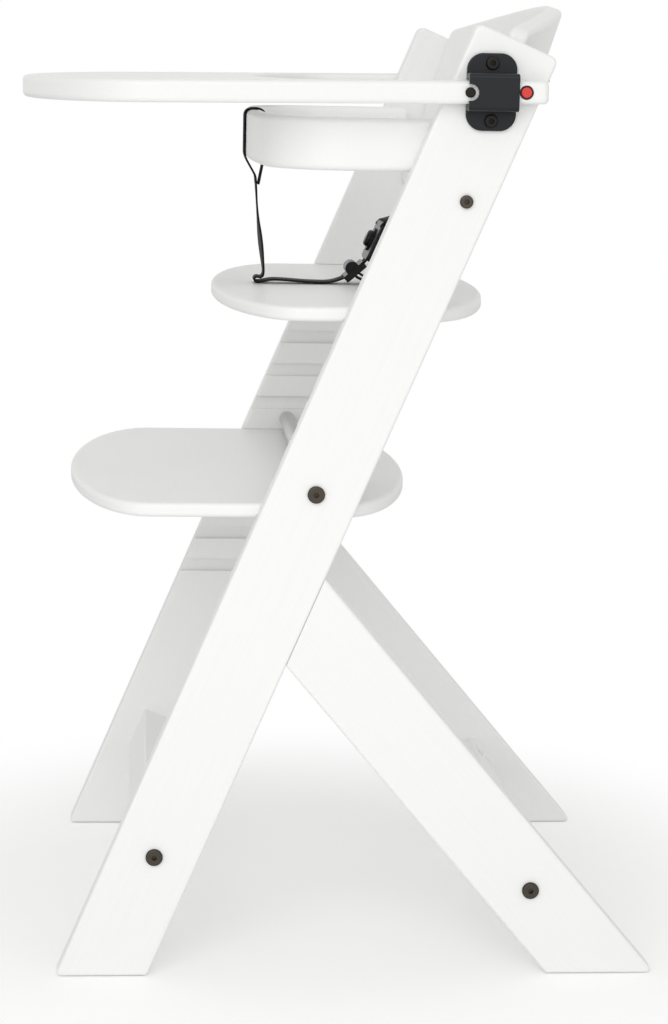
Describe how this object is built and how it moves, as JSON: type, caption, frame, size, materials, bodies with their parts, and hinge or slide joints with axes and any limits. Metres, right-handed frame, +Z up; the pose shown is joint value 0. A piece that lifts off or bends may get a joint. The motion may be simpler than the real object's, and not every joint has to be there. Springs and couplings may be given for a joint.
{
  "type": "baby high chair",
  "caption": "Baby high chair of painted boards with leaning side frames, grooved plates for seat and footrest, a curved back, a safety bar, a slide-on tray and a webbing harness",
  "frame": {"origin": "on the floor, under the middle of the overall box", "axes": "+Z up; the chair faces -X; its left side is -Y"},
  "size_m": [0.533, 0.4934, 0.7985],
  "materials": {
    "white_paint": "satin white paint on board",
    "beech": "bare beech",
    "bronze_bolt": "dark bronze plated steel",
    "zinc": "bright zinc",
    "steel_rod": "satin steel",
    "black_plastic": "fine grained",
    "red_plastic": "gloss",
    "spring_steel": "drawn wire",
    "webbing": "woven webbing"
  },
  "bodies": {
    "frame": {"left_front_leg": "white_paint", "right_front_leg": "white_paint", "left_back_leg": "white_paint", "right_back_leg": "white_paint", "front_stretcher": "white_paint", "back_stretcher": "white_paint", "back_panel": "white_paint", "safety_bar": "white_paint", "leg_dowels": "beech", "stretcher_dowels": "beech", "back_panel_dowels": "beech", "stretcher_bolts": "bronze_bolt", "tie_rod_bolts": "bronze_bolt", "back_panel_bolts": "bronze_bolt", "bracket_screws": "bronze_bolt", "stretcher_nuts": "zinc", "back_panel_inserts": "zinc", "bracket_inserts": "zinc", "safety_bar_screws": "white_paint", "tie_rod": "steel_rod", "left_tray_bracket": "black_plastic", "right_tray_bracket": "black_plastic", "crotch_adjuster": "black_plastic", "buckle_body": "black_plastic", "strap_stops": "black_plastic", "buckle_spring": "spring_steel", "crotch_strap": "webbing", "left_shoulder_strap": "webbing", "right_shoulder_strap": "webbing"},
    "seat": {"seat": "white_paint"},
    "footrest": {"footrest": "white_paint"},
    "tray": {"tray": "white_paint", "tray_stop_pins": "bronze_bolt", "button_collars": "black_plastic", "left_button_spring": "spring_steel", "right_button_spring": "spring_steel"},
    "left_button": {"left_release_button": "red_plastic"},
    "right_button": {"right_release_button": "red_plastic"},
    "buckle_press": {"buckle_button": "black_plastic"}
  },
  "joints": [
    {"name": "tray_slide", "type": "slide", "parent": "frame", "child": "tray", "axis": [-0.9999, 0, -0.014], "range_m": [0, 0.06]},
    {"name": "left_button_press", "type": "slide", "parent": "tray", "child": "left_button", "axis": [0, 1, 0], "range_m": [0, 0.002], "stiffness_N_per_m": 800, "deforming": ["left_button_spring"]},
    {"name": "right_button_press", "type": "slide", "parent": "tray", "child": "right_button", "axis": [0, -1, 0], "range_m": [0, 0.002], "stiffness_N_per_m": 800, "deforming": ["right_button_spring"]},
    {"name": "seat_slide", "type": "slide", "parent": "frame", "child": "seat", "axis": [1, 0, 0], "range_m": [-0.03, 0.02]},
    {"name": "footrest_slide", "type": "slide", "parent": "frame", "child": "footrest", "axis": [1, 0, 0], "range_m": [-0.03, 0.03]},
    {"name": "buckle_press_slide", "type": "slide", "parent": "frame", "child": "buckle_press", "axis": [0.9135, 0, -0.4067], "range_m": [0, 0.0015], "stiffness_N_per_m": 1000, "deforming": ["buckle_spring"]}
  ]
}
